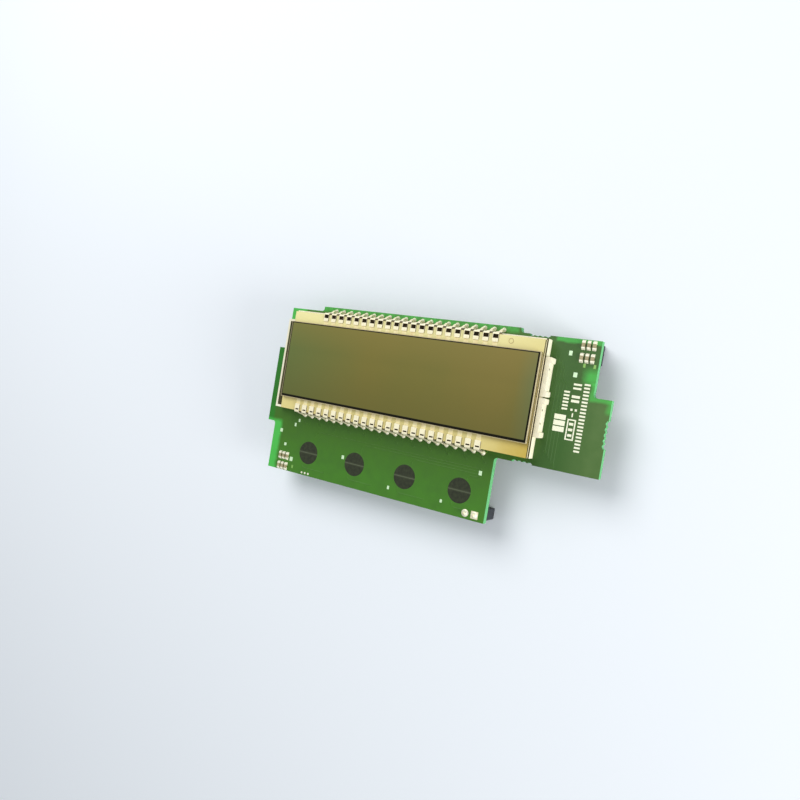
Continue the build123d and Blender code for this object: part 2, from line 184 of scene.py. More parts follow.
class Paint:
    """Builds the node tree of one material around one surface shader."""

    def __init__(self, name: str) -> None:
        """Start a material whose tree holds only a surface shader.

        Args:
            name: The material's name.
        """
        self.material = bpy.data.materials.new(name)
        self.material.use_nodes = True
        self.tree = self.material.node_tree
        self.tree.nodes.clear()
        self.surface = self.tree.nodes.new("ShaderNodeBsdfPrincipled")
        output = self.tree.nodes.new("ShaderNodeOutputMaterial")
        self.tree.links.new(self.surface.outputs[0], output.inputs[0])
        place = self.node("ShaderNodeTexCoord", {}, {}, "Object")
        self.place = self.node(
            "ShaderNodeVectorMath", {"operation": "SCALE"}, {0: place, "Scale": 1.0 / MM}
        )

    def node(
        self,
        kind: str,
        settings: Mapping[str, Any],
        inputs: Mapping[Any, Any],
        out: Union[int, str] = 0,
    ) -> Wire:
        """Add one node.

        Args:
            kind: The node's type.
            settings: Properties that are set first.
            inputs: Wires or plain values, by socket.
            out: The output that is returned.

        Returns:
            The chosen output as a wire.
        """
        plain = {
            key: value.socket if isinstance(value, Wire) else value
            for key, value in inputs.items()
        }
        return Wire(self, add_node(self.tree, kind, settings, plain, out))

    def axis(self, name: str) -> Wire:
        """Return one coordinate of the surface point, in millimetres."""
        return self.node("ShaderNodeSeparateXYZ", {}, {0: self.place}, name)

    def axes(self) -> tuple[Wire, Wire, Wire]:
        """Return all three coordinates of the surface point, in millimetres."""
        return self.axis("X"), self.axis("Y"), self.axis("Z")

    def noise(self, scale: float, detail: float = 3.0, stretch: Point = (1.0, 1.0, 1.0)) -> Wire:
        """Return a soft random pattern.

        Args:
            scale: Grains per millimetre.
            detail: Number of finer layers.
            stretch: Factors along the three axes.

        Returns:
            A value around one half.
        """
        place = self.node(
            "ShaderNodeVectorMath", {"operation": "MULTIPLY"}, {0: self.place, 1: stretch}
        )
        return self.node(
            "ShaderNodeTexNoise", {}, {"Vector": place, "Scale": scale, "Detail": detail}
        )

    def mix(self, share: Term, first: Any, second: Any) -> Wire:
        """Blend two colours, the share telling how much of the second one shows."""
        return self.node("ShaderNodeMix", {"data_type": "RGBA"}, {0: share, 6: first, 7: second}, 2)

    def coats(self, face: Any, *coats: tuple[Term, Any]) -> Any:
        """Lay coats over a colour in turn.

        Args:
            face: The colour underneath.
            coats: Share and colour of each coat.

        Returns:
            The last mix.
        """
        for share, colour in coats:
            face = self.mix(share, face, colour)
        return face

    def bump(self, height: Term, depth: float, strength: float = 1.0) -> Wire:
        """Return a surface direction from a height pattern, depth in millimetres."""
        relief = {"Height": height, "Distance": depth * MM, "Strength": strength}
        return self.node("ShaderNodeBump", {}, relief)

    def dress(self, **sockets: Any) -> None:
        """Set the surface shader's sockets.

        Args:
            sockets: Values or wires, by the socket's name with underscores for spaces.
        """
        for name, value in sockets.items():
            socket = self.surface.inputs[name.replace("_", " ")]
            if isinstance(value, Wire):
                self.tree.links.new(value.socket, socket)
            else:
                socket.default_value = value


@dataclass(frozen=True)
class SolderMask:
    """Green lacquer over woven glass laminate, with the laminate showing on the cut edges.

    Along the board's left and upper edges, beside its shoulder and in a mottled strip at the
    top, the green is painted bright: a painted glow that stands for light shining through
    the laminate and glancing off it. Each of the painted glow areas has its reach, the
    width of its soft edge and its share.
    """

    lift: float = 0.0
    upper: Colour = srgb(60, 106, 20)
    lower: Colour = srgb(65, 122, 28)
    display_side: Colour = srgb(54, 94, 32)
    arm: Colour = srgb(82, 114, 56)
    cloudy: Colour = srgb(54, 96, 28)
    painted_light_colour: Colour = srgb(76, 196, 80)
    tab: Colour = srgb(28, 122, 24)
    lifted: Colour = srgb(110, 160, 70)
    edge: Colour = srgb(100, 186, 122)
    fibre: Colour = srgb(92, 150, 84)
    key_fade: Spot = (-20.0, -11.0)
    display_fade: Spot = (30.0, 34.0)
    arm_fade: Spot = (39.0, 46.0)
    shoulder_fade: Spot = (8.0, 16.0)
    tab_area: Area = (-60.0, -46.4, -11.0, 12.4)
    mottled_glow_area: Area = (-50.0, 24.6, 22.3, 30.0)
    painted_glow_areas: tuple[tuple[Area, float, float], ...] = (
        ((-60.0, -42.9, -30.0, -9.6), 1.2, 1.0),
        ((-60.0, -40.6, 12.0, 30.0), 1.2, 1.0),
        ((41.0, 60.0, 12.0, 17.0), 2.0, 0.8),
        ((43.4, 60.0, 8.8, 13.6), 0.7, 0.65),
        ((47.6, 60.0, 6.5, 10.0), 0.9, 0.6),
        ((33.6, 60.0, 21.5, 30.0), 0.5, 0.7),
    )

    def cover(self, paint: Paint) -> None:
        """Lay the lacquer on the laminate.

        Args:
            paint: The material's tree.
        """
        along, across, level = paint.axes()
        wave = paint.noise(0.5, 2.0) * 0.8 - 0.4
        wavy = (along + wave, across + wave)
        cloud = paint.noise(0.35, 4.0)
        mottle = paint.noise(0.8, 3.0).rise(0.3, 0.7)
        arm = along.rise(*self.arm_fade) * (1.0 - across.rise(*self.shoulder_fade) * 0.7)
        # Painted glow: the green is painted bright along the left and upper edges, beside the
        # shoulder and in a mottled strip at the top.
        glow = rectangle(*wavy, self.mottled_glow_area, 0.7) * (mottle * 0.5 + 0.3)
        for reach, soft, share in self.painted_glow_areas:
            glow = glow + rectangle(*wavy, reach, soft) * share
        face = paint.coats(
            self.lower,
            (across.rise(*self.key_fade), self.upper),
            (along.rise(*self.display_fade), self.display_side),
            (arm, self.arm),
            (cloud.rise(0.4, 0.7) * 0.3, self.cloudy),
            (rectangle(*wavy, self.tab_area, 0.9) * 0.8, self.tab),
            (glow.rise(0.0, 1.0) * 0.85, self.painted_light_colour),
            (self.lift, self.lifted),
        )
        inner = level.between(BOARD_BOTTOM + 0.02, BOARD_TOP - 0.02, 0.02)
        fibres = paint.noise(3.0, 2.0, (1.0, 1.0, 8.0)).rise(0.3, 0.7)
        laminate = paint.mix(fibres * 0.5, self.edge, self.fibre)
        weave = (along * 7.0).sine() * (across * 7.0).sine() * 0.5 + 0.5
        paint.dress(
            Base_Color=paint.mix(inner, face, laminate),
            Roughness=inner * 0.3 + 0.4 + cloud * 0.1,
            Normal=paint.bump(weave * 0.6 + paint.noise(2.0) * 0.4, 0.02, 0.3),
            Specular_IOR_Level=0.4,
        )


@dataclass(frozen=True)
class Moulding:
    """A plain moulded plastic with a fine texture."""

    colour: Colour
    shade: Colour
    roughness: float = 0.45
    gloss: float = 0.5

    def face(self, paint: Paint) -> Wire:
        """Return the plastic's faintly clouded colour."""
        return paint.mix(paint.noise(0.6, 4.0).rise(0.35, 0.7), self.colour, self.shade)

    def cover(self, paint: Paint) -> None:
        """Lay the plastic's colour, grain and gloss.

        Args:
            paint: The material's tree.
        """
        grain = paint.noise(4.0)
        paint.dress(
            Base_Color=self.face(paint),
            Roughness=grain * 0.15 + (self.roughness - 0.07),
            Normal=paint.bump(grain, 0.01, 0.5),
            Specular_IOR_Level=self.gloss,
        )


@dataclass(frozen=True)
class FrameMoulding(Moulding):
    """The backlight's ivory moulding, with painted shade by the glass's end and in the loop."""

    colour: Colour = srgb(255, 248, 222)
    shade: Colour = srgb(246, 238, 206)
    roughness: float = 0.42
    painted_shade: Colour = srgb(70, 58, 30)
    shade_line_x: Spot = (32.5, 33.04)
    shade_line_level: float = 11.45
    loop: Area = (-44.3, -41.9, -5.7, 18.7)
    loop_level: float = 11.6

    def face(self, paint: Paint) -> Wire:
        """Return the ivory, with painted shade by the glass's end and inside the loop.

        Args:
            paint: The material's tree.

        Returns:
            The colour.
        """
        along, across, level = paint.axes()
        # Painted shade: a dark line on the frame by the glass's end, and the inside of the loop
        # darkened below its top.
        line = along.between(*self.shade_line_x, 0.05, 0.06)
        line = line * level.rise(self.shade_line_level, self.shade_line_level + 0.04)
        loop_shade = rectangle(along, across, self.loop, 0.04)
        loop_shade = loop_shade * (1.0 - level.rise(self.loop_level, self.loop_level + 0.1))
        dark = (line + loop_shade * 0.8).rise(0.0, 1.0)
        return paint.mix(dark, super().face(paint), self.painted_shade)


@dataclass(frozen=True)
class Metal:
    """A metal with a drawn grain and slight tarnish."""

    colour: Colour
    tarnish: Colour
    roughness: float = 0.25
    grain: float = 2.0
    metallic: float = 1.0

    def face(self, paint: Paint, cloud: Wire) -> Wire:
        """Return the metal's colour, tarnished in clouds."""
        return paint.mix(cloud.rise(0.45, 0.8) * 0.6, self.colour, self.tarnish)

    def cover(self, paint: Paint) -> None:
        """Lay the metal's colour, grain and gloss.

        Args:
            paint: The material's tree.
        """
        cloud = paint.noise(self.grain, 4.0)
        fine = paint.noise(self.grain * 4.0, 2.0, (1.0, 0.3, 1.0))
        paint.dress(
            Base_Color=self.face(paint, cloud),
            Metallic=self.metallic,
            Roughness=cloud * 0.15 + fine * 0.1 + (self.roughness - 0.1),
            Normal=paint.bump(fine, 0.01, 0.4),
        )


@dataclass(frozen=True)
class ClipStrip(Metal):
    """Tinned strip that the clip pins are cut from, its sheared sides darkened with painted shade.
    """

    first_x: float = 0.0
    half_width: float = 0.8
    low_level: float = 11.4
    low_colour: Colour = srgb(240, 230, 190)
    painted_light_colour: Colour = srgb(70, 54, 26)

    def face(self, paint: Paint, cloud: Wire) -> Wire:
        """Return the tin, darker towards the tails, with painted shade on the sheared sides.

        Args:
            paint: The material's tree.
            cloud: The metal's soft pattern.

        Returns:
            The colour.
        """
        low = 1.0 - paint.axis("Z").rise(self.low_level, self.low_level + 1.2)
        tin = paint.mix(low * 0.6, super().face(paint, cloud), self.low_colour)
        # Painted shade: the sheared sides of each pin, found from the pin pitch, are darkened.
        turns = (paint.axis("X") - (self.first_x - PITCH / 2)) / PITCH
        reach = (turns.fraction() - 0.5).size() * PITCH
        side = reach.rise(self.half_width - 0.03, self.half_width - 0.01)
        return paint.mix(side * 0.85, tin, self.painted_light_colour)


@dataclass(frozen=True)
class ClearPlate:
    """A clear plate that takes the tint of what lies behind it.

    The tint runs from one colour at the upper left to a deeper one at the lower right,
    and the cut rim shows the light that the plate carries.
    """

    tint: Colour
    deep: Colour
    rim: Colour
    opacity: float
    middle: Point
    half: Point
    ground: float = 0.02
    rim_low: Colour = srgb(226, 212, 170)
    gloss: float = 0.5
    roughness: float = 0.06

    def cover(self, paint: Paint) -> None:
        """Tint the plate's face, and its cut rim and ground edge apart from it.

        Args:
            paint: The material's tree.
        """
        along = paint.axis("X") - self.middle[0]
        across = paint.axis("Y") - self.middle[1]
        end, side = self.half[0] - self.ground, self.half[1] - self.ground
        rim = along.size().rise(end, end + 0.02) + across.size().rise(side, side + 0.02)
        rim = rim.rise(0.0, 1.0)
        haze = paint.noise(0.25, 3.0)
        lower = 1.0 - across.rise(-self.half[1], self.half[1])
        right = along.rise(self.half[0] - 12.0, self.half[0] - 1.5)
        depth = (lower * 0.45 + right * 0.25 + lower * right * 0.3) * (haze * 0.4 + 0.8)
        face = paint.mix(depth, self.tint, self.deep)
        split = self.middle[2] - self.half[2] * 0.1
        cut = paint.mix(paint.axis("Z").rise(split - 0.05, split + 0.05), self.rim_low, self.rim)
        paint.dress(
            Base_Color=paint.mix(rim, face, cut),
            Roughness=haze * 0.08 + self.roughness,
            Alpha=rim * (1.0 - self.opacity) * 0.5 + self.opacity,
            Specular_IOR_Level=self.gloss,
        )


@dataclass(frozen=True)
class PolariserFilm:
    """The display's front film: olive grey, browner to the right and darker below."""

    reach: Area
    left: Colour = srgb(98, 110, 56)
    middle: Colour = srgb(116, 108, 46)
    right: Colour = srgb(121, 109, 48)
    end: Colour = srgb(108, 112, 66)
    cloudy: Colour = srgb(98, 104, 44)
    low: Colour = srgb(88, 84, 36)
    high: Colour = srgb(140, 124, 58)
    edge: Colour = srgb(22, 20, 10)

    def cover(self, paint: Paint) -> None:
        """Lay the film, with a dark cut edge.

        Args:
            paint: The material's tree.
        """
        along, across, _ = paint.axes()
        cloud = paint.noise(0.06, 4.0)
        face = paint.coats(
            self.left,
            (along.rise(-40.0, -14.0), self.middle),
            (along.rise(0.0, 26.0), self.right),
            (along.rise(28.0, 32.0), self.end),
            (cloud.rise(0.35, 0.7) * 0.3, self.cloudy),
            ((1.0 - across.rise(-3.0, 9.0)) * 0.45, self.low),
            (across.rise(11.0, 18.0) * 0.4, self.high),
        )
        left, right, lower, upper = self.reach
        inside = along.between(left + 0.1, right - 0.02, 0.2, 0.1)
        inside = inside * across.between(lower + 0.02, upper - 0.06, 0.12, 0.1)
        streaks = paint.noise(3.0, 2.0, (0.1, 1.0, 1.0))
        paint.dress(
            Base_Color=paint.mix(inside, self.edge, face),
            Roughness=streaks * 0.06 + 0.32,
            Normal=paint.bump(paint.noise(1.2, 2.0), 0.004, 0.3),
            Specular_IOR_Level=0.3,
        )


@dataclass(frozen=True)
class CarbonInk:
    """Printed carbon, dark and matt, with the screen's faint grain."""

    colour: Colour = srgb(52, 58, 38)
    shade: Colour = srgb(38, 43, 29)
    line: Colour = srgb(72, 78, 56)
    split_y: float = -17.5

    def cover(self, paint: Paint) -> None:
        """Lay the carbon and the split across the contact.

        Args:
            paint: The material's tree.
        """
        cloud = paint.noise(1.3, 4.0)
        along, across, _ = paint.axes()
        mesh_grain = (along * 12.0).sine() * (across * 12.0).sine()
        face = paint.mix(cloud.rise(0.3, 0.7), self.colour, self.shade)
        near = 1.0 - (across - self.split_y).size().rise(0.1, 0.42)
        paint.dress(
            Base_Color=paint.mix(near * 0.75, face, self.line),
            Roughness=cloud * 0.15 + 0.6,
            Normal=paint.bump(mesh_grain * 0.5 + cloud, 0.015, 0.4),
            Specular_IOR_Level=0.3,
        )


@dataclass(frozen=True)
class LegendInk:
    """Ivory legend ink with the slight unevenness of screen printing."""

    colour: Colour = srgb(246, 246, 220)
    thin: Colour = srgb(196, 210, 160)

    def cover(self, paint: Paint) -> None:
        """Lay the ink, thin in places.

        Args:
            paint: The material's tree.
        """
        cloud = paint.noise(5.0, 3.0)
        paint.dress(
            Base_Color=paint.mix(cloud.rise(0.55, 0.8), self.colour, self.thin),
            Roughness=cloud * 0.2 + 0.5,
        )


class Finish(Enum):
    """The object's finishes: each one's own name and the record's slot it belongs to."""

    MASK = ("solder_mask", "mask")
    TRACK = ("lacquered_copper", "mask")
    REAR_TRACK = ("lacquered_copper_behind", "mask")
    LIFTED = ("lacquered_pad", "mask")
    BED = ("contact_bed", "mask")
    IVORY = ("ivory_moulding", "ivory")
    PIT = ("moulding_pit", "ivory")
    FILM = ("white_film", "film")
    GUIDE = ("clear_guide", "clear_plastic")
    FRONT_GLASS = ("front_glass_plate", "display_glass")
    REAR_GLASS = ("rear_glass_plate", "display_glass")
    CONDUCTOR = ("clear_conductor", "display_glass")
    SEAL = ("filling_seal", "display_glass")
    POLARISER = ("polariser_film", "polariser")
    TIN = ("tinned_bronze", "tin")
    PIN = ("tinned_clip", "tin")
    SOLDER = ("solder", "tin")
    TEST_PAD = ("levelled_tin", "tin")
    CONTACT = ("gilt_contact", "tin")
    CARBON = ("carbon_ink", "carbon")
    PASTE = ("conductive_paste", "carbon")
    BLACK = ("black_moulding", "black_plastic")
    CHIP = ("resistor_coat", "chip_black")
    TAN = ("capacitor_body", "chip_tan")
    LEGEND = ("legend_ink", "legend")
    LAMP = ("lamp_body", "lamp_white")


def box_mm(node: str) -> tuple[Vector, Vector]:
    """Return a CAD node's lowest and highest corners in millimetres."""
    low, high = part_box(node)
    return Vector(low) / MM, Vector(high) / MM


def plate_place(node: str) -> tuple[Point, Point]:
    """Return the middle and the half sizes of a CAD node's box, in millimetres."""
    low, high = box_mm(node)
    return tuple((low + high) / 2), tuple((high - low) / 2)


class Palette:
    """Makes each finish once and hands it out."""

    def __init__(self) -> None:
        """Start with no finish made."""
        self._made: dict[Finish, Material] = {}
        film_low, film_high = box_mm("front_polariser")
        pins_low, _ = box_mm("display_pins_bottom")
        self._recipes: dict[Finish, Any] = {
            Finish.MASK: SolderMask(),
            Finish.TRACK: SolderMask(0.04),
            Finish.REAR_TRACK: SolderMask(0.4),
            Finish.LIFTED: Moulding(srgb(146, 192, 96), srgb(112, 164, 76), 0.4),
            Finish.BED: Moulding(srgb(86, 94, 70), srgb(72, 82, 58), 0.5),
            Finish.IVORY: FrameMoulding(),
            # Darker ivory patches that paint the shade of small pits in the hoods.
            Finish.PIT: Moulding(srgb(150, 144, 118), srgb(120, 116, 96), 0.5),
            Finish.FILM: Moulding(srgb(248, 240, 214), srgb(240, 228, 192), 0.6),
            Finish.GUIDE: Moulding(srgb(226, 232, 214), srgb(214, 222, 200), 0.15),
            Finish.FRONT_GLASS: ClearPlate(
                srgb(22, 19, 6), srgb(22, 19, 6), srgb(190, 176, 138), 0.96,
                *plate_place("front_glass"), 0.14, srgb(112, 98, 72), 0.2,
            ),
            Finish.REAR_GLASS: ClearPlate(
                srgb(255, 246, 178), srgb(212, 184, 84), srgb(88, 76, 50), 0.86,
                *plate_place("rear_glass"),
            ),
            Finish.CONDUCTOR: Moulding(srgb(255, 244, 190), srgb(244, 222, 160), 0.2),
            Finish.SEAL: Moulding(srgb(196, 176, 120), srgb(180, 160, 104), 0.3),
            Finish.POLARISER: PolariserFilm((film_low.x, film_high.x, film_low.y, film_high.y)),
            Finish.TIN: Metal(srgb(244, 234, 198), srgb(206, 192, 146), 0.5, metallic=0.5),
            Finish.PIN: ClipStrip(
                srgb(252, 244, 210), srgb(226, 208, 156), 0.5,
                metallic=0.15, first_x=pins_low.x + ClipStrip.half_width,
            ),
            Finish.SOLDER: Metal(srgb(252, 248, 226), srgb(224, 216, 186), 0.45, 3.0, 0.3),
            Finish.TEST_PAD: Metal(srgb(216, 244, 204), srgb(186, 222, 168), 0.45, metallic=0.2),
            Finish.CONTACT: Metal(srgb(214, 186, 112), srgb(170, 140, 80), 0.25),
            Finish.CARBON: CarbonInk(),
            # Near-black patch laid as conductive paste under each clip's window, also painting the
            # shade inside the window.
            Finish.PASTE: Moulding(srgb(24, 18, 8), srgb(50, 40, 18), 0.8, 0.1),
            Finish.BLACK: Moulding(srgb(34, 36, 40), srgb(44, 47, 54), 0.5),
            Finish.CHIP: Moulding(srgb(176, 166, 126), srgb(140, 128, 92), 0.45),
            Finish.TAN: Moulding(srgb(172, 142, 104), srgb(150, 122, 88), 0.45),
            Finish.LEGEND: LegendInk(),
            Finish.LAMP: Moulding(srgb(240, 240, 234), srgb(228, 228, 220), 0.35),
        }

    def get(self, finish: Finish) -> Material:
        """Return the material of a finish, made at the first call.

        Args:
            finish: The finish.

        Returns:
            Its material.
        """
        if finish not in self._made:
            paint = Paint(finish.value[0])
            self._recipes[finish].cover(paint)
            self._made[finish] = paint.material
        return self._made[finish]


PALETTE = Palette()


def new_piece(name: str, mesh: Mesh, finish: Finish, replaced: Sequence[str] = ()) -> None:
    """Make an object of a mesh, dress it and let it ride on the board.

    Args:
        name: The piece's name.
        mesh: Its mesh, in metres, in the part's frame.
        finish: What it is made of.
        replaced: CAD nodes that it stands for.
    """
    piece = bpy.data.objects.new(name, mesh)
    bpy.context.scene.collection.objects.link(piece)
    mesh.materials.clear()
    mesh.materials.append(PALETTE.get(finish))
    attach(piece, BODY)
    if replaced:
        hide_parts(*replaced)
    LOG.info("%s: %d faces", name, len(mesh.polygons))


def dress_nodes(finish: Finish, *nodes: str) -> None:
    """Give CAD nodes their finish.

    Args:
        finish: What they are made of.
        nodes: The nodes' names.
    """
    for node in nodes:
        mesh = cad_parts[node].data
        mesh.materials.clear()
        mesh.materials.append(PALETTE.get(finish))
        LOG.info("%s dressed as %s", node, finish.value[0])


def evaluated_mesh(piece: Piece) -> Mesh:
    """Turn an object with modifiers into a plain mesh.

    Args:
        piece: The object, which is removed.

    Returns:
        The mesh.
    """
    graph = bpy.context.evaluated_depsgraph_get()
    mesh = bpy.data.meshes.new_from_object(piece.evaluated_get(graph))
    bpy.data.objects.remove(piece)
    return mesh


def mesh_of(name: str, points: Points, faces: Sequence[Sequence[int]]) -> Mesh:
    """Make a mesh from points in millimetres.

    Args:
        name: The mesh's name.
        points: Places in millimetres.
        faces: Corner numbers of each face.

    Returns:
        The mesh in metres, its normals pointing outwards.
    """
    mesh = bpy.data.meshes.new(name)
    mesh.from_pydata([Vector(point) * MM for point in points], [], faces)
    shape = bmesh.new()
    shape.from_mesh(mesh)
    bmesh.ops.recalc_face_normals(shape, faces=shape.faces)
    shape.to_mesh(mesh)
    shape.free()
    return mesh


def helper(name: str, mesh: Mesh) -> Piece:
    """Make a short-lived object that modifiers or trees work on.

    Args:
        name: The object's name.
        mesh: Its mesh.

    Returns:
        The object.
    """
    made = bpy.data.objects.new(name, mesh)
    bpy.context.scene.collection.objects.link(made)
    return made


def bevelled(work: Piece, width: float, segments: int, angle: float) -> Mesh:
    """Return a short-lived object's mesh with softened edges.

    Args:
        work: The object, which is removed.
        width: Width of the softened edge in millimetres.
        segments: Steps across the edge.
        angle: Least angle in degrees at which an edge is softened.

    Returns:
        The plain mesh.
    """
    bevel = work.modifiers.new("edge", "BEVEL")
    bevel.width = width * MM
    bevel.segments = segments
    bevel.limit_method = "ANGLE"
    bevel.angle_limit = math.radians(angle)
    return evaluated_mesh(work)


def rounded(node: str, finish: Finish, width: float, segments: int = 2) -> None:
    """Replace a CAD node by a copy with softened edges.

    Args:
        node: The CAD node.
        finish: What it is made of.
        width: Width of the softened edge in millimetres.
        segments: Steps across the edge.
    """
    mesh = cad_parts[node].data.copy()
    shape = bmesh.new()
    shape.from_mesh(mesh)
    bmesh.ops.remove_doubles(shape, verts=shape.verts, dist=0.001 * MM)
    bmesh.ops.dissolve_limit(
        shape, angle_limit=math.radians(1.0), verts=shape.verts, edges=shape.edges
    )
    shape.to_mesh(mesh)
    shape.free()
    soft = bevelled(helper(node + "_work", mesh), width, segments, 35.0)
    new_piece(node + "_detail", soft, finish, (node,))


def block(name: str, size: Point) -> Mesh:
    """Make a plain block that stands on Z = 0.

    Args:
        name: The mesh's name.
        size: Its sides in millimetres.

    Returns:
        The mesh.
    """
    half_x, half_y, height = size[0] / 2, size[1] / 2, size[2]
    corners = [(-half_x, -half_y), (half_x, -half_y), (half_x, half_y), (-half_x, half_y)]
    points = [(x, y, z) for z in (0.0, height) for x, y in corners]
    sides = [[i, (i + 1) % 4, 4 + (i + 1) % 4, 4 + i] for i in range(4)]
    return mesh_of(name, points, [[3, 2, 1, 0], [4, 5, 6, 7]] + sides)


def lathe(name: str, profile: Sequence[Spot], sides: int) -> Mesh:
    """Turn a closed profile round the Z axis.

    Args:
        name: The mesh's name.
        profile: Radius and height of each point, in order, in millimetres.
        sides: Number of faces round the axis.

    Returns:
        A closed mesh in metres.
    """
    points: list[Point] = []
    rings: list[list[int]] = []
    for radius, height in profile:
        if radius < 1e-6:
            rings.append([len(points)] * sides)
            points.append((0.0, 0.0, height))
            continue
        rings.append(list(range(len(points), len(points) + sides)))
        for step in range(sides):
            turn = 2 * math.pi * step / sides
            points.append((radius * math.cos(turn), radius * math.sin(turn), height))
    faces: list[list[int]] = []
    closed = rings + ([rings[0]] if profile[0][0] > 1e-6 and profile[-1][0] > 1e-6 else [])
    for lower, upper in zip(closed, closed[1:]):
        for step in range(sides):
            after = (step + 1) % sides
            corners = [lower[step], lower[after], upper[after], upper[step]]
            face = list(dict.fromkeys(corners))
            if len(face) > 2:
                faces.append(face)
    return mesh_of(name, points, faces)


class NodesTree:
    """A Geometry Nodes tree with named inputs, run once on a short-lived object."""

    def __init__(self, name: str, inputs: Mapping[str, str]) -> None:
        """Start a tree.

        Args:
            name: The tree's name.
            inputs: Kind of each input besides the finish, by its name.
        """
        self.tree = bpy.data.node_groups.new(name, "GeometryNodeTree")
        for label, kind in {**inputs, "Finish": "Material"}.items():
            self.socket(label, kind, "INPUT")
        self.socket("Result", "Geometry", "OUTPUT")
        self.given = self.tree.nodes.new("NodeGroupInput").outputs

    def socket(self, label: str, kind: str, way: str) -> None:
        """Add one input or output to the tree's interface."""
        self.tree.interface.new_socket(label, in_out=way, socket_type=f"NodeSocket{kind}")

    def add(
        self, kind: str, inputs: Mapping[Any, Any], out: Union[int, str] = 0, **settings: Any
    ) -> Socket:
        """Add one node, its settings given by name, and return one of its outputs."""
        return add_node(self.tree, kind, settings, inputs, out)

    def close(self, shape: Socket) -> None:
        """Turn a shape into plain faces of the finish and make it the result.

        Args:
            shape: The shape's socket.
        """
        plain = self.add("GeometryNodeRealizeInstances", {0: shape})
        dressing = {"Geometry": plain, "Material": self.given["Finish"]}
        dressed = self.add("GeometryNodeSetMaterial", dressing)
        self.tree.links.new(dressed, self.tree.nodes.new("NodeGroupOutput").inputs[0])

    def run(self, carrier: Piece, values: Mapping[str, Any]) -> Mesh:
        """Run the tree on an object and return the plain result.

        Args:
            carrier: The object, which is removed afterwards.
            values: The inputs' values by name, set through the sockets' identifiers.

        Returns:
            The mesh that the tree makes.
        """
        modifier = carrier.modifiers.new("tree", "NODES")
        modifier.node_group = self.tree
        for item in self.tree.interface.items_tree:
            if item.item_type == "SOCKET" and item.in_out == "INPUT" and item.name in values:
                modifier[item.identifier] = values[item.name]
        return evaluated_mesh(carrier)


class RepeatTree(NodesTree):
    """Puts copies of a piece on the points of a mesh."""

    seed = 7

    def __init__(self) -> None:
        """Build the tree."""
        super().__init__(
            "repeat_on_points",
            {"Places": "Geometry", "Piece": "Object", "Turn": "Float", "Turn spread": "Float"},
        )
        given = self.given
        chance = self.add(
            "FunctionNodeRandomValue", {"Seed": self.seed, 2: -1.0}, 1, data_type="FLOAT"
        )
        spread = self.add(
            "ShaderNodeMath", {0: chance, 1: given["Turn spread"]}, operation="MULTIPLY"
        )
        total = self.add("ShaderNodeMath", {0: given["Turn"], 1: spread})
        turned = self.add("ShaderNodeCombineXYZ", {"Z": total})
        piece = self.add("GeometryNodeObjectInfo", {"Object": given["Piece"]}, "Geometry")
        copied = {"Points": given["Places"], "Instance": piece, "Rotation": turned}
        self.close(self.add("GeometryNodeInstanceOnPoints", copied))

    def grow(
        self, name: str, template: Mesh, places: Points, finish: Finish, turn: float, spread: float
    ) -> Mesh:
        """Put a copy of a template on each place.

        Args:
            name: The result's name.
            template: The repeated mesh, in metres about its own origin.
            places: Points in millimetres.
            finish: What the copies are made of.
            turn: Turn of every copy about Z, in degrees.
            spread: Random turn to either side, in degrees.

        Returns:
            One plain mesh that holds all copies.
        """
        source = helper(name + "_template", template)
        carrier = helper(name + "_places", mesh_of(name + "_places", places, []))
        values = {
            "Piece": source,
            "Turn": math.radians(turn),
            "Turn spread": math.radians(spread),
            "Finish": PALETTE.get(finish),
        }
        mesh = self.run(carrier, values)
        bpy.data.objects.remove(source)
        return mesh


class TrackTree(NodesTree):
    """Lays flat tracks along the edges of a mesh."""

    corner_steps = 3

    def __init__(self) -> None:
        """Build the tree."""
        super().__init__(
            "tracks_along_edges",
            {"Routes": "Geometry", "Width": "Float", "Height": "Float", "Corner": "Float"},
        )
        given = self.given
        outline = {"Width": given["Width"], "Height": given["Height"]}
        section = self.add("GeometryNodeCurvePrimitiveQuadrilateral", outline)
        curves = self.add("GeometryNodeMeshToCurve", {0: given["Routes"]})
        corner = {"Curve": curves, "Radius": given["Corner"], "Limit Radius": True}
        corner["Count"] = self.corner_steps
        bent = self.add("GeometryNodeFilletCurve", corner, mode="POLY")
        swept = {"Curve": bent, "Profile Curve": section, "Fill Caps": True}
        self.close(self.add("GeometryNodeCurveToMesh", swept))

    def lay(
        self,
        name: str,
        routes: Sequence[Sequence[Spot]],
        level: float,
        width: float,
        height: float,
        finish: Finish,
    ) -> Mesh:
        """Lay one track along each route.

        Args:
            name: The result's name.
            routes: Corners of each track in the board's plane, in millimetres.
            level: Height of the tracks' middle, in millimetres.
            width: Width of a track in millimetres.
            height: Thickness of a track in millimetres.
            finish: What the tracks are made of.

        Returns:
            One plain mesh that holds all tracks.
        """
        points: list[Vector] = []
        edges: list[tuple[int, int]] = []
        for route in routes:
            first = len(points)
            points += [Vector((x, y, level)) * MM for x, y in route]
            edges += [(first + i, first + i + 1) for i in range(len(route) - 1)]
        mesh = bpy.data.meshes.new(name)
        mesh.from_pydata(points, edges, [])
        values = {
            "Width": width * MM,
            "Height": height * MM,
            "Corner": width * MM,
            "Finish": PALETTE.get(finish),
        }
        return self.run(helper(name + "_routes", mesh), values)


REPEAT = RepeatTree()
TRACKS = TrackTree()


def scatter(
    name: str,
    template: Mesh,
    places: Points,
    finish: Finish,
    replaced: Sequence[str] = (),
    turn: float = 0.0,
    spread: float = 0.0,
) -> None:
    """Make one piece of a template repeated at places, in millimetres."""
    mesh = REPEAT.grow(name, template, places, finish, turn, spread)
    new_piece(name, mesh, finish, replaced)


def ring(
    name: str, inner: float, outer: float, height: float, sides: int, slant: float = 0.0
) -> Mesh:
    """Turn a flat ring whose top is narrower than its foot by a slant."""
    profile = [(inner, 0.0), (outer, 0.0), (outer - slant, height), (inner, height)]
    return lathe(name, profile, sides)


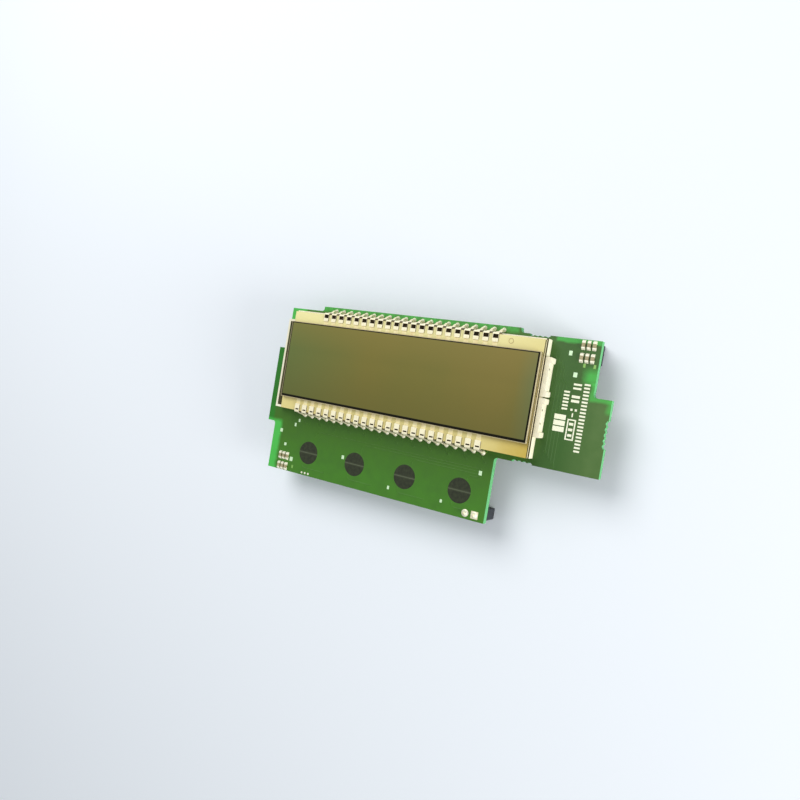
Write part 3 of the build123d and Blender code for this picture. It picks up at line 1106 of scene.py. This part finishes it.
def disc(name: str, radius: float, height: float, sides: int = 20) -> Mesh:
    """Make a thin disc that stands on Z = 0 with a softened rim.

    Args:
        name: The mesh's name.
        radius: Its radius in millimetres.
        height: Its thickness in millimetres.
        sides: Number of faces round the axis.

    Returns:
        The mesh.
    """
    rim = min(radius, height) * 0.4
    profile = [(0.0, 0.0), (radius, 0.0), (radius, height - rim), (radius - rim, height)]
    return lathe(name, profile + [(0.0, height)], sides)


def raised(spots: Sequence[Spot], level: float) -> list[Point]:
    """Return spots of the board's plane as places at a level."""
    return [(x, y, level) for x, y in spots]


@dataclass
class PinRow:
    """One row of clip pins with the solder that holds them to the board."""

    name: str
    node: str
    count: int
    side: int
    window: Spot
    band: float
    row_reach: float = 15.05
    half_width: float = 0.8
    finger: float = 1.95
    thickness: float = 0.22
    edge_width: float = 0.045
    tail_half_width: float = 0.3
    stickout: float = 0.6
    knee_height: float = 2.0
    jaw_reaches: tuple[float, ...] = (0.36, 0.1, -0.7)
    jaw_half_width: float = 0.5

    def __post_init__(self) -> None:
        """Read the levels and the glass edge from the frame."""
        low, high = box_mm("rear_glass")
        self.glass_top = high.z
        self.glass_bottom = low.z
        outer = high.y if self.side > 0 else low.y
        self.edge = abs(outer - DISPLAY_Y)
        first, _ = box_mm(self.node)
        self.first_x = first.x + self.half_width
        self.foot_y = DISPLAY_Y + self.side * self.row_reach

    def places(self, y: float = DISPLAY_Y, level: float = 0.0) -> list[Point]:
        """Return one place for each pin, all at the same Y and level."""
        return [(self.first_x + i * PITCH, y, level) for i in range(self.count)]

    def clip_mesh(self) -> Mesh:
        """Make one clip pin, a bent strip with a window and a rear jaw.

        Returns:
            The mesh, about the row's middle line.
        """
        half = self.thickness / 2
        edge, top, wide = self.edge, self.glass_top + half, self.half_width
        knee, foot = BOARD_TOP + self.knee_height, BOARD_BOTTOM - self.stickout
        narrow = self.tail_half_width
        rows = [
            (edge - self.finger, top, 0.62),
            (edge - self.finger + 0.2, top, wide),
            (edge - self.band - self.window[1], top, wide),
            (edge - self.band, top, wide),
            (edge + 0.12, top - 0.02, wide),
            (edge + 0.27, top - 0.1, wide),
            (edge + 0.34, top - 0.26, wide),
            (edge + 0.48, self.glass_bottom - 0.2, wide),
            (edge + 0.62, knee + 0.45, wide),
            (edge + 0.72, knee + 0.2, 0.72),
            (edge + 0.8, knee, 0.36),
            (self.row_reach - 0.1, BOARD_TOP + 1.15, narrow),
            (self.row_reach, BOARD_TOP + 0.9, narrow),
            (self.row_reach, foot + 0.1, narrow),
            (self.row_reach, foot, narrow * 0.7),
        ]
        points: list[Point] = []
        faces: list[list[int]] = []
        for y, z, width in rows:
            inner = min(self.window[0] / 2, width * 0.9)
            points += [(-width, y, z), (-inner, y, z), (inner, y, z), (width, y, z)]
        for row in range(len(rows) - 1):
            for column in range(3):
                if row == 2 and column == 1:
                    continue
                first = 4 * row + column
                faces.append([first, first + 1, first + 5, first + 4])
        start = len(points)
        jaw_z = self.glass_bottom - half - 0.02
        for reach in self.jaw_reaches:
            points += [(side * self.jaw_half_width, edge + reach, jaw_z) for side in (-1, 1)]
        for row in range(len(self.jaw_reaches) - 1):
            first = start + 2 * row
            faces.append([first, first + 1, first + 3, first + 2])
        work = helper("clip_work", mesh_of("clip", points, faces))
        solid = work.modifiers.new("thickness", "SOLIDIFY")
        solid.thickness = self.thickness * MM
        solid.offset = 0.0
        return bevelled(work, self.edge_width, 1, 50.0)

    def build(self) -> None:
        """Make the pins, their joints in front and their domes behind."""
        turn = 0.0 if self.side > 0 else 180.0
        scatter(self.name, self.clip_mesh(), self.places(), Finish.PIN, (self.node,), turn)
        pad = ring("ring_pad", 0.4, 0.6, 0.04, 16, 0.02)
        cone = [(0.2, 0.0), (0.54, 0.03), (0.46, 0.16), (0.38, 0.36), (0.3, 0.6), (0.2, 0.6)]
        scatter(self.name + "_pads", pad, self.places(self.foot_y, BOARD_TOP), Finish.TIN)
        dome = [(0.0, 0.0), (0.82, 0.0), (0.8, -0.06), (0.62, -0.3), (0.42, -0.48), (0.2, -0.58)]
        for label, shape, level in (
            ("front", lathe("front_cone", cone, 12), BOARD_TOP + 0.03),
            ("rear", lathe("rear_dome", dome + [(0.0, -0.6)], 14), BOARD_BOTTOM),
        ):
            feet = self.places(self.foot_y, level)
            scatter(f"{self.name}_{label}_solder", shape, feet, Finish.SOLDER, spread=20.0)


@dataclass
class Display:
    """The cell, its films and the clear conductors on its ledges."""

    conductor_half: float = 0.62
    conductor_height: float = 0.012
    seal_radius: float = 0.65
    seal_place: Spot = (DISPLAY_X + 28.8, DISPLAY_Y + 12.3)

    def build(self, rows: Sequence[PinRow]) -> None:
        """Dress the plates and add what lies on the rear plate's ledges.

        Args:
            rows: The two rows of clip pins, for the conductors' places.
        """
        dress_nodes(Finish.FRONT_GLASS, "front_glass")
        dress_nodes(Finish.REAR_GLASS, "rear_glass")
        dress_nodes(Finish.POLARISER, "front_polariser", "rear_polariser")
        low, high = box_mm("front_glass")
        for row in rows:
            near = high.y if row.side > 0 else low.y
            far = DISPLAY_Y + row.side * (row.edge - row.finger - 0.05)
            size = (2 * self.conductor_half, abs(far - near), self.conductor_height)
            places = row.places((near + far) / 2, row.glass_top)
            scatter(row.name + "_conductors", block("conductor", size), places, Finish.CONDUCTOR)
            # Under each clip's window lies a dark patch of conductive paste that also paints the
            # window's shade.
            window_y = DISPLAY_Y + row.side * (row.edge - row.band - row.window[1] / 2)
            size = (row.window[0] + 0.06, row.window[1] + 0.06, self.conductor_height)
            places = row.places(window_y, row.glass_top + 0.002)
            scatter(row.name + "_paste", block("paste", size), places, Finish.PASTE)
        seal = ring("filling_seal", self.seal_radius - 0.14, self.seal_radius, 0.05, 28)
        places = raised([self.seal_place], rows[0].glass_top)
        scatter("ledge_seal", seal, places, Finish.SEAL)


@dataclass
class Backlight:
    """The moulded frame with its films, guide and lamps."""

    pit_size: Point = (0.02, 0.36, 0.42)
    pit_x: float = 34.14
    pit_level: float = 11.1
    pit_places: tuple[float, ...] = (16.45, 14.85, 9.25, 7.15, 5.4, 2.25, -0.15)

    def build(self) -> None:
        """Soften the frame's edges and dress what lies inside."""
        rounded("backlight_frame", Finish.IVORY, 0.12, 2)
        rounded("backlight_lamps", Finish.LAMP, 0.06)
        dress_nodes(Finish.FILM, "reflector_film", "diffuser_film")
        dress_nodes(Finish.GUIDE, "light_guide", "backlight_lamp_lenses")
        # The hood pits are flat patches of darker ivory whose darkness is painted shade.
        places = [(self.pit_x, y, self.pit_level) for y in self.pit_places]
        scatter("hood_pits", block("hood_pit", self.pit_size), places, Finish.PIT)


@dataclass
class Board:
    """The laminate with its lacquered tracks, vias, key contacts and legend."""

    track_height: float = 0.012
    track_width: float = 0.22
    key_pitch: float = 16.0
    key_first_x: float = -32.2
    key_y: float = -17.5
    key_count: int = 4
    key_radius: float = 3.15
    key_exit: Spot = (1.6, 2.4)
    cut: float = 0.7
    bus_y: float = -11.2
    bus_end: float = 20.5
    branch_y: float = -21.2
    branch_end: float = 6.4
    chip_x: float = 2.0
    chip_y: float = 5.0
    chip_reach: float = 5.95
    lead_pitch: float = 0.65
    lead_count: int = 13
    fan_start: float = 0.8
    fan_step: float = 0.4
    fan_slope: float = 0.06
    spots: tuple[Spot, ...] = ((-33.5, -23.3), (-32.35, -23.3), (-31.2, -23.3))
    covered: tuple[Spot, ...] = ((41.3, 16.9), (43.7, 16.9), (-37.2, -22.4))

    def key_centres(self) -> list[Spot]:
        """Return the middles of the key contacts."""
        return [(self.key_first_x + i * self.key_pitch, self.key_y) for i in range(self.key_count)]

    def front_routes(self, rows: Sequence[PinRow]) -> list[list[Spot]]:
        """Lay out the tracks in front: key halves to a bus, and test points to pins.

        Args:
            rows: The two rows of clip pins.

        Returns:
            The corners of each track.
        """
        routes = []
        aside, out = self.key_exit
        for number, (x, y) in enumerate(self.key_centres()):
            for side, level, end in (
                (1, self.bus_y - self.cut * (number + 1), self.bus_end),
                (-1, self.branch_y, x + self.branch_end),
            ):
                start = x + side * aside
                turned = level + side * self.cut
                corner = [(start, level), (start + self.cut, turned), (end, turned)]
                routes.append([(start, y + side * out)] + corner)
        lower = rows[-1]
        for x, y, _ in lower.places(lower.foot_y)[::2]:
            routes.append([(x, y - 0.6), (x, y - 1.4), (x + 0.8, -9.4)])
        for step in range(4):
            x = 34.4 + 0.8 * step
            routes.append([(x, 19.5 - step), (x, 13.4), (x + 1.2, 12.2), (x + 1.2, -4.0 - step)])
        return routes

    def rear_routes(self, rows: Sequence[PinRow]) -> list[list[Spot]]:
        """Lay out the tracks behind, from every display pin to the driver chip's leads.

        Args:
            rows: The two rows of clip pins.

        Returns:
            The corners of each track.
        """
        routes = []
        half = (self.lead_count - 1) / 2
        for row in rows:
            spare = (row.count - self.lead_count) // 2
            first_end = self.chip_x - half * self.lead_pitch
            first_gap = row.first_x + spare * PITCH - first_end
            pivot = -first_gap / (PITCH - self.lead_pitch)
            widest = max(pivot, self.lead_count - 1 - pivot)
            for number in range(row.count):
                x = row.first_x + number * PITCH
                lead = number - spare
                if 0 <= lead < self.lead_count:
                    end_x = first_end + lead * self.lead_pitch
                    end_y = self.chip_y + row.side * self.chip_reach
                    rise = self.fan_start + (widest - abs(lead - pivot)) * self.fan_step
                    lift = max(abs(x - end_x) * self.fan_slope, 0.05)
                    bend = end_y + row.side * rise
                    high = bend + row.side * lift
                    routes.append([(x, row.foot_y), (x, high), (end_x, bend), (end_x, end_y)])
                    continue
                rank = number if number < spare else row.count - 1 - number
                side = -1 if number < spare else 1
                level = self.chip_y + row.side * (half - (spare - 1 - rank)) * self.lead_pitch
                end_x = self.chip_x + side * self.chip_reach
                routes.append([(x, row.foot_y), (x, level), (end_x, level)])
        return routes

    def build(self, rows: Sequence[PinRow]) -> None:
        """Dress the board and everything printed or plated on it.

        Args:
            rows: The two rows of clip pins, for the tracks' ends.
        """
        dress_nodes(Finish.MASK, "circuit_board")
        dress_nodes(Finish.CARBON, *[f"key_contact_{i + 1}" for i in range(self.key_count)])
        front = self.front_routes(rows)
        rear = self.rear_routes(rows)
        for name, routes, level, height, finish in (
            ("front_tracks", front, BOARD_TOP, self.track_height, Finish.TRACK),
            ("rear_tracks", rear, BOARD_BOTTOM, 2 * self.track_height, Finish.REAR_TRACK),
        ):
            mesh = TRACKS.lay(name, routes, level, self.track_width, height, finish)
            new_piece(name, mesh, finish)
        ends = [route[-1] for route in front]
        via = ring("via", 0.15, 0.36, 0.035, 14, 0.03)
        scatter("front_vias", via, raised(ends, BOARD_TOP), Finish.TRACK)
        bed = disc("key_bed", self.key_radius - 0.05, 0.02, 64)
        places = raised(self.key_centres(), BOARD_TOP)
        scatter("key_beds", bed, places, Finish.BED)
        halo = ring("key_halo", self.key_radius + 0.06, self.key_radius + 0.26, 0.01, 64, 0.02)
        scatter("key_halos", halo, places, Finish.TRACK)
        spot = disc("plated_spot", 0.3, 0.035, 14)
        scatter("edge_spots", spot, raised(self.spots, BOARD_TOP), Finish.SOLDER)
        wide = block("covered_pad", (0.55, 0.9, 0.02))
        scatter("covered_pads", wide, raised(self.covered, BOARD_TOP), Finish.LIFTED)
        rounded("legend_print", Finish.LEGEND, 0.01, 1)
        rounded("test_pads", Finish.TEST_PAD, 0.02, 1)
        rounded("post_pads", Finish.TIN, 0.02, 1)


@dataclass
class Parts:
    """Chip parts in front and behind, with the driver chip."""

    chip_edge: float = 0.05
    driver_edge: float = 0.12
    mark_radius: float = 0.45
    mark_inset: float = 1.4
    pad_x: float = 0.4
    pad_ys: Spot = (0.36, 1.74)

    def build(self) -> None:
        """Soften and dress the chip parts."""
        for label in ("upper", "lower"):
            rounded(f"chip_resistors_{label}", Finish.CHIP, self.chip_edge)
            rounded(f"chip_resistor_ends_{label}", Finish.SOLDER, self.chip_edge)
            low, high = box_mm(f"chip_resistor_ends_{label}")
            pad = lathe("chip_pad", [(0.0, 0.0), (0.62, 0.0), (0.58, 0.05), (0.0, 0.05)], 4)
            steps = [y for step in self.pad_ys for y in (low.y + step, high.y - step)]
            middles = [low.x + self.pad_x, (low.x + high.x) / 2, high.x - self.pad_x]
            places = [(x, y, low.z) for x in middles for y in steps]
            scatter(f"chip_pads_{label}", pad, places, Finish.SOLDER, turn=45.0)
        for label, finish in (("capacitor", Finish.TAN), ("dropper", Finish.CHIP)):
            rounded(f"{label}_bodies", finish, self.chip_edge)
            rounded(f"{label}_ends", Finish.SOLDER, self.chip_edge)
        rounded("driver_chip", Finish.BLACK, self.driver_edge)
        rounded("driver_chip_leads", Finish.TIN, 0.03, 1)
        low, _ = box_mm("driver_chip")
        mark = ring("first_mark", self.mark_radius - 0.08, self.mark_radius, -0.05, 24)
        place = (low.x + self.mark_inset, low.y + self.mark_inset, low.z + 0.02)
        scatter("driver_first_lead_mark", mark, [place], Finish.BLACK)


@dataclass
class Sockets:
    """The two sockets behind with their contacts, posts and solder."""

    contact_radius: float = 0.42
    contact_inset: float = 0.35
    contact_depth: float = 4.5

    def mouths(self, node: str, across: int) -> list[Point]:
        """Return the places of a socket's holes.

        Args:
            node: The socket's CAD node.
            across: Number of rows across.

        Returns:
            Places at the socket's mouth.
        """
        low, high = box_mm(node)
        middle = (low + high) / 2
        shifts = [0.0] if across == 1 else [-PITCH / 2, PITCH / 2]
        return [
            (middle.x + side * PITCH / 2, middle.y + shift, low.z)
            for side in (-1, 1)
            for shift in shifts
        ]

    def build(self) -> None:
        """Soften the sockets and add their contacts and joints."""
        rounded("lower_socket", Finish.BLACK, 0.15)
        rounded("upper_socket", Finish.BLACK, 0.15)
        rounded("upper_socket_feet", Finish.TIN, 0.04, 1)
        rounded("lower_socket_posts", Finish.TIN, 0.05, 1)
        radius, inset, depth = self.contact_radius, self.contact_inset, self.contact_depth
        profile = [(radius, inset), (radius, depth), (radius - 0.1, depth), (radius - 0.06, inset)]
        sleeve = lathe("sleeve", profile, 16)
        places = self.mouths("lower_socket", 1) + self.mouths("upper_socket", 2)
        scatter("socket_contacts", sleeve, places, Finish.CONTACT)
        cone = [(0.2, 0.0), (0.9, 0.02), (0.72, 0.12), (0.52, 0.34), (0.42, 0.62), (0.2, 0.66)]
        joints = [(x, y, BOARD_TOP + 0.05) for x, y, _ in self.mouths("lower_socket", 1)]
        scatter("post_solder", lathe("post_cone", cone, 20), joints, Finish.SOLDER, spread=15.0)


@dataclass
class Studio:
    """A pale floor, soft lamps and the camera of the photograph's view."""

    floor_half: float = 4000.0
    floor_colour: Colour = srgb(238, 242, 246)
    camera_place: Point = (89.7, 6.1, 165.1)
    aim: Point = (-5.3, 1.8, 9.1)
    roll: float = 9.5
    lens: float = 31.5
    world_strength: float = 0.45
    lamps: list[tuple[Point, float, float]] = field(
        default_factory=lambda: [
            ((-170.0, 290.0, 400.0), 400.0, 1.78),
            ((460.0, -90.0, 125.0), 240.0, 1.9),
        ]
    )

    def floor(self) -> None:
        """Lay the floor under the sockets."""
        paint = Paint("floor_paper")
        cloud = paint.noise(0.004, 2.0)
        paint.dress(
            Base_Color=paint.mix(cloud, self.floor_colour, srgb(238, 243, 248)), Roughness=0.9
        )
        half = self.floor_half
        corners = [(-half, -half), (half, -half), (half, half), (-half, half)]
        mesh = mesh_of("floor", [(x, y, -0.02) for x, y in corners], [[0, 1, 2, 3]])
        mesh.materials.append(paint.material)
        helper("floor", mesh)

    def light(self) -> None:
        """Set the soft lamps and the pale world."""
        for number, (place, size, power) in enumerate(self.lamps):
            lamp = bpy.data.lights.new(f"soft_lamp_{number + 1}", "AREA")
            lamp.shape = "DISK"
            lamp.size = size * MM
            lamp.energy = power
            holder = bpy.data.objects.new(lamp.name, lamp)
            holder.location = Vector(place) * MM
            holder.rotation_euler = (-holder.location).to_track_quat("-Z", "Y").to_euler()
            bpy.context.scene.collection.objects.link(holder)
        world = bpy.data.worlds.new("pale_world")
        world.use_nodes = True
        sky = world.node_tree.nodes["Background"]
        sky.inputs["Color"].default_value = srgb(240, 245, 250)
        sky.inputs["Strength"].default_value = self.world_strength
        bpy.context.scene.world = world

    def camera(self) -> None:
        """Place the camera, aimed at the board and rolled as in the photograph."""
        data = bpy.data.cameras.new("camera")
        data.lens = self.lens
        data.sensor_width = 36.0
        data.clip_start = 0.01
        data.clip_end = 20.0
        place = Vector(self.camera_place)
        ahead = (Vector(self.aim) - place).normalized()
        level_right = ahead.cross(Vector((0.0, 1.0, 0.0))).normalized()
        level_up = level_right.cross(ahead)
        turn = math.radians(self.roll)
        right = level_right * math.cos(turn) + level_up * math.sin(turn)
        up = right.cross(ahead)
        turned = Matrix((right, up, -ahead)).transposed().to_4x4()
        turned.translation = place * MM
        holder = bpy.data.objects.new("camera", data)
        holder.matrix_world = turned
        bpy.context.scene.collection.objects.link(holder)
        bpy.context.scene.camera = holder

    def build(self) -> None:
        """Set up the whole studio."""
        bpy.context.scene.view_settings.view_transform = "Standard"
        self.floor()
        self.light()
        self.camera()


def main() -> None:
    """Build the dressed part and its studio."""
    logging.basicConfig(level=logging.INFO, format="%(message)s")
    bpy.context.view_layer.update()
    rows = [
        PinRow("clip_pins_top", "display_pins_top", 21, 1, (1.44, 0.98), 0.04),
        PinRow("clip_pins_bottom", "display_pins_bottom", 23, -1, (1.15, 0.36), 0.22),
    ]
    for row in rows:
        row.build()
    Display().build(rows)
    Backlight().build()
    Board().build(rows)
    Parts().build()
    Sockets().build()
    Studio().build()


if __name__ == "__main__":
    main()
